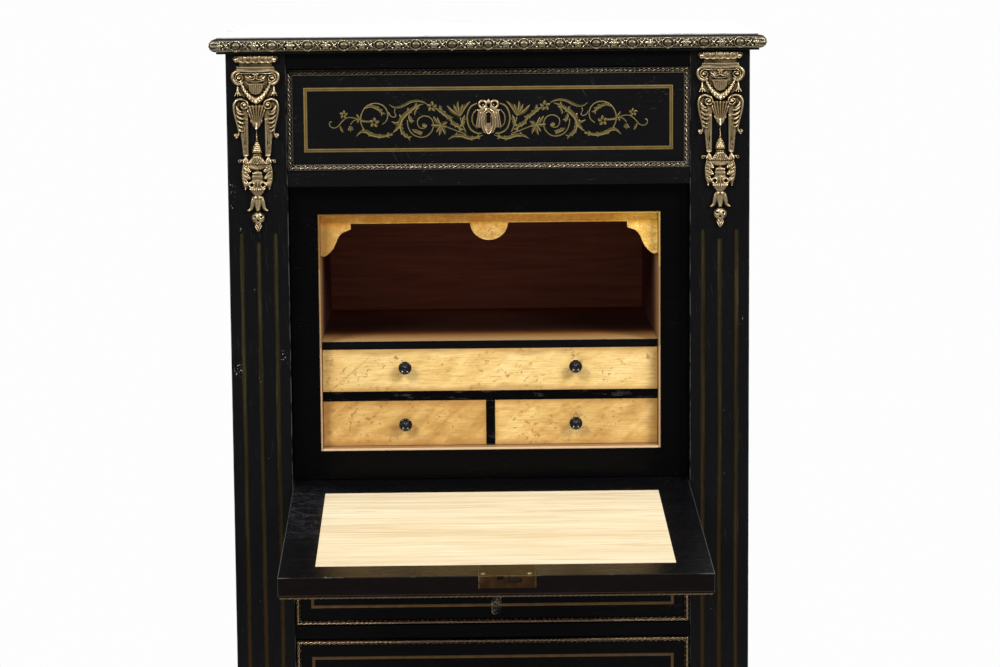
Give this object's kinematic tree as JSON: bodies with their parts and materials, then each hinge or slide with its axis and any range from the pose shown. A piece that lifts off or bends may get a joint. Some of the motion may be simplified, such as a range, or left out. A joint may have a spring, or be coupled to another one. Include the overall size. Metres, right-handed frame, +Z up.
{
  "type": "fall-front secretaire",
  "caption": "Ebonised fall-front secretaire with gilt-bronze mounts and marble top; its fall lowers to a writing surface before a maple-fitted interior, with drawers above and below.",
  "frame": {"origin": "on the floor under the middle of the part with its fall open, which is level with the carcass's front face", "axes": "+X to the object's right as seen from the front, +Y from front to back, +Z up"},
  "size_m": [0.7176, 0.7892, 1.3379],
  "materials": {
    "ebonised_wood": "gloss",
    "gilt_bronze": "satin",
    "aged_brass": "satin",
    "steel": "satin",
    "marble": "gloss",
    "maple": "gloss",
    "pale_wood": "satin",
    "oak": "matte",
    "mahogany": "satin",
    "black_knobs": "gloss"
  },
  "bodies": {
    "carcass": {"back_panel": "mahogany", "bottom_board": "ebonised_wood", "chute_left": "gilt_bronze", "chute_right": "gilt_bronze", "frieze_rail": "ebonised_wood", "inner_bottom": "maple", "inner_divider": "ebonised_wood", "inner_rail": "ebonised_wood", "inner_shelf": "maple", "inner_side_left": "maple", "inner_side_right": "maple", "inner_top": "maple", "liner_left": "oak", "liner_right": "oak", "lower_divider_1": "ebonised_wood", "lower_divider_2": "ebonised_wood", "marble_top": "marble", "pilaster_left": "ebonised_wood", "pilaster_right": "ebonised_wood", "plinth": "ebonised_wood", "side_left": "ebonised_wood", "side_right": "ebonised_wood", "sill_divider": "ebonised_wood", "stop_frame": "ebonised_wood", "top_board": "ebonised_wood", "top_moulding": "gilt_bronze", "upper_divider": "ebonised_wood", "valance": "maple"},
    "fall": {"fall_panel": "ebonised_wood", "writing_panel": "pale_wood", "fall_moulding": "gilt_bronze", "fall_lock": "aged_brass", "pivot_left": "aged_brass", "pivot_right": "aged_brass"},
    "bolt": {"fall_bolt": "steel"},
    "key": {"key": "steel"},
    "top_drawer": {"top_drawer_front": "ebonised_wood", "top_drawer_moulding": "gilt_bronze", "top_drawer_tray": "oak", "top_drawer_escutcheon": "gilt_bronze"},
    "high_drawer": {"high_drawer_front": "ebonised_wood", "high_drawer_moulding": "gilt_bronze", "high_drawer_tray": "oak"},
    "mid_drawer": {"mid_drawer_front": "ebonised_wood", "mid_drawer_moulding": "gilt_bronze", "mid_drawer_tray": "oak"},
    "low_drawer": {"low_drawer_front": "ebonised_wood", "low_drawer_moulding": "gilt_bronze", "low_drawer_tray": "oak"},
    "long_drawer": {"long_drawer_front": "maple", "long_drawer_tray": "oak", "long_drawer_knob_left": "black_knobs", "long_drawer_knob_right": "black_knobs"},
    "small_drawer_left": {"small_drawer_left_front": "maple", "small_drawer_left_tray": "oak", "small_drawer_left_knob": "black_knobs"},
    "small_drawer_right": {"small_drawer_right_front": "maple", "small_drawer_right_tray": "oak", "small_drawer_right_knob": "black_knobs"}
  },
  "joints": [
    {"name": "fall_hinge", "type": "hinge", "parent": "carcass", "child": "fall", "pos_m": [0, 0.008, 0.73198], "axis": [1, 0, 0], "range_deg": [-95.24, 0]},
    {"name": "top_drawer_slide", "type": "slide", "parent": "carcass", "child": "top_drawer", "axis": [0, -1, 0], "range_m": [0, 0.26]},
    {"name": "high_drawer_slide", "type": "slide", "parent": "carcass", "child": "high_drawer", "axis": [0, -1, 0], "range_m": [0, 0.26]},
    {"name": "mid_drawer_slide", "type": "slide", "parent": "carcass", "child": "mid_drawer", "axis": [0, -1, 0], "range_m": [0, 0.26]},
    {"name": "low_drawer_slide", "type": "slide", "parent": "carcass", "child": "low_drawer", "axis": [0, -1, 0], "range_m": [0, 0.26]},
    {"name": "long_drawer_slide", "type": "slide", "parent": "carcass", "child": "long_drawer", "axis": [0, -1, 0], "range_m": [0, 0.24]},
    {"name": "small_drawer_left_slide", "type": "slide", "parent": "carcass", "child": "small_drawer_left", "axis": [0, -1, 0], "range_m": [0, 0.24]},
    {"name": "small_drawer_right_slide", "type": "slide", "parent": "carcass", "child": "small_drawer_right", "axis": [0, -1, 0], "range_m": [0, 0.24]},
    {"name": "key_turn", "type": "hinge", "parent": "fall", "child": "key", "pos_m": [0, -0.36921, 0.68935], "axis": [0, -0.0913, 0.9958], "range_deg": [0, 180]},
    {"name": "bolt_slide", "type": "slide", "parent": "fall", "child": "bolt", "axis": [0, -0.9958, -0.0913], "range_m": [0, 0.008]}
  ],
  "couplings": [
    {"joint": "bolt_slide", "follows": "key_turn", "m_per_rad": 0.0025464}
  ]
}
